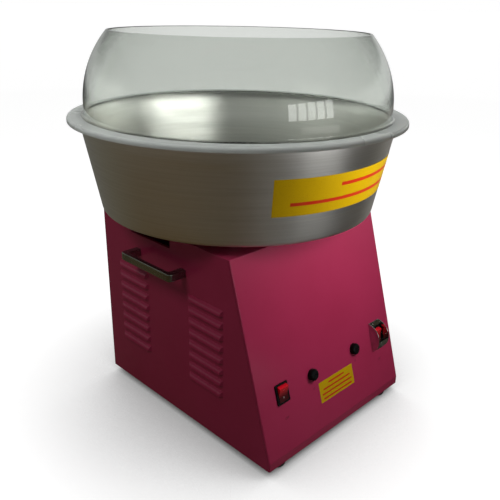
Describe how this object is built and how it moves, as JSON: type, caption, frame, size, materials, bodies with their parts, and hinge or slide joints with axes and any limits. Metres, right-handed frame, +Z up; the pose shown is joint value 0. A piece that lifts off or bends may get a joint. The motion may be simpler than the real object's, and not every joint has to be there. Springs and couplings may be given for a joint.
{
  "type": "cotton candy machine",
  "caption": "Table-top cotton candy machine: folded-sheet cabinet with a sloping control front, round bowl, clear domed cover, motor-driven spinner head and two carrying handles.",
  "frame": {"origin": "on the spinner's axis, at the level the feet stand on; the base outline is centred on it from side to side", "axes": "+Z up; the sloping front faces -Y; +X is to the right seen from the front"},
  "size_m": [0.52, 0.52, 0.5905],
  "materials": {
    "pink_paint": "gloss",
    "zinc_sheet": "satin",
    "handle_chrome": "satin",
    "fastener_steel": "bright",
    "foot_rubber": "matt",
    "black_nylon": "satin",
    "switch_red": "gloss",
    "terminal_brass": "bright",
    "fuse_glass": "clear",
    "bowl_aluminium": "spun",
    "seat_nylon": "matt",
    "dome_acrylic": "clear",
    "motor_casting": "cast",
    "laminated_iron": "matt",
    "bearing_steel": "bright",
    "bush_ceramic": "matt",
    "brush_carbon": "matt",
    "phenolic_brown": "satin",
    "head_aluminium": "turned",
    "ribbon_alloy": "heat stained",
    "capacitor_case": "drawn"
  },
  "bodies": {
    "cabinet": {"front_panel": "pink_paint", "left_side_panel": "pink_paint", "right_side_panel": "pink_paint", "rear_panel": "pink_paint", "top_deck": "pink_paint", "base_tray": "zinc_sheet", "rubber_feet": "foot_rubber", "foot_screws": "fastener_steel", "foot_nuts": "fastener_steel", "left_handle": "handle_chrome", "right_handle": "handle_chrome", "handle_screws": "fastener_steel", "power_switch_housing": "black_nylon", "heat_switch_housing": "black_nylon", "switch_terminals": "terminal_brass", "switch_guard": "handle_chrome", "left_fuse_holder": "black_nylon", "right_fuse_holder": "black_nylon", "fuse_holder_nuts": "black_nylon", "power_inlet": "black_nylon", "inlet_pins": "terminal_brass", "bowl_seats": "seat_nylon", "motor_plate": "zinc_sheet", "vibration_mounts": "foot_rubber", "mount_bolts": "fastener_steel", "motor_upper_bell": "motor_casting", "motor_lower_bell": "motor_casting", "motor_can": "laminated_iron", "motor_bolts": "fastener_steel", "motor_bearings": "bearing_steel", "carbon_brushes": "brush_carbon", "brush_springs": "fastener_steel", "brush_holder": "phenolic_brown", "terminal_block": "seat_nylon", "motor_capacitor": "capacitor_case", "capacitor_clip": "zinc_sheet"},
    "spinner": {"motor_shaft": "fastener_steel", "motor_rotor": "laminated_iron", "motor_fan": "black_nylon", "slip_ring_hub": "seat_nylon", "slip_rings": "terminal_brass", "feed_rods": "terminal_brass", "feed_bushes": "bush_ceramic", "head_base": "head_aluminium", "ribbon_leads": "terminal_brass", "heating_ribbon": "ribbon_alloy", "element_posts": "bush_ceramic", "slotted_band": "head_aluminium", "head_lid": "head_aluminium", "head_screws": "fastener_steel", "head_nut": "fastener_steel"},
    "power_rocker": {"power_rocker": "switch_red"},
    "heat_rocker": {"heat_rocker": "switch_red"},
    "left_fuse_cap": {"left_fuse_cap": "black_nylon", "left_fuse_cartridge": "fuse_glass"},
    "right_fuse_cap": {"right_fuse_cap": "black_nylon", "right_fuse_cartridge": "fuse_glass"},
    "bowl": {"bowl": "bowl_aluminium"},
    "dome": {"dome": "dome_acrylic"}
  },
  "joints": [
    {"name": "spinner_spin", "type": "hinge", "parent": "cabinet", "child": "spinner", "pos_m": [0, 0, 0.346], "axis": [0, 0, 1], "continuous": true},
    {"name": "power_rocker_tilt", "type": "hinge", "parent": "cabinet", "child": "power_rocker", "pos_m": [-0.1135, -0.21242, 0.11092], "axis": [-1, 0, 0], "range_deg": [0, 24]},
    {"name": "heat_rocker_tilt", "type": "hinge", "parent": "cabinet", "child": "heat_rocker", "pos_m": [0.1205, -0.21285, 0.11366], "axis": [-1, 0, 0], "range_deg": [0, 24]},
    {"name": "left_fuse_cap_turn", "type": "hinge", "parent": "cabinet", "child": "left_fuse_cap", "pos_m": [-0.047, -0.21309, 0.11217], "axis": [0, -0.9572, 0.2895], "range_deg": [0, 90]},
    {"name": "right_fuse_cap_turn", "type": "hinge", "parent": "cabinet", "child": "right_fuse_cap", "pos_m": [0.058, -0.21266, 0.1136], "axis": [0, -0.9572, 0.2895], "range_deg": [0, 90]},
    {"name": "bowl_lift", "type": "slide", "parent": "cabinet", "child": "bowl", "axis": [0, 0, 1], "range_m": [0, 0.12]},
    {"name": "dome_lift", "type": "slide", "parent": "bowl", "child": "dome", "axis": [0, 0, 1], "range_m": [0, 0.15]}
  ]
}
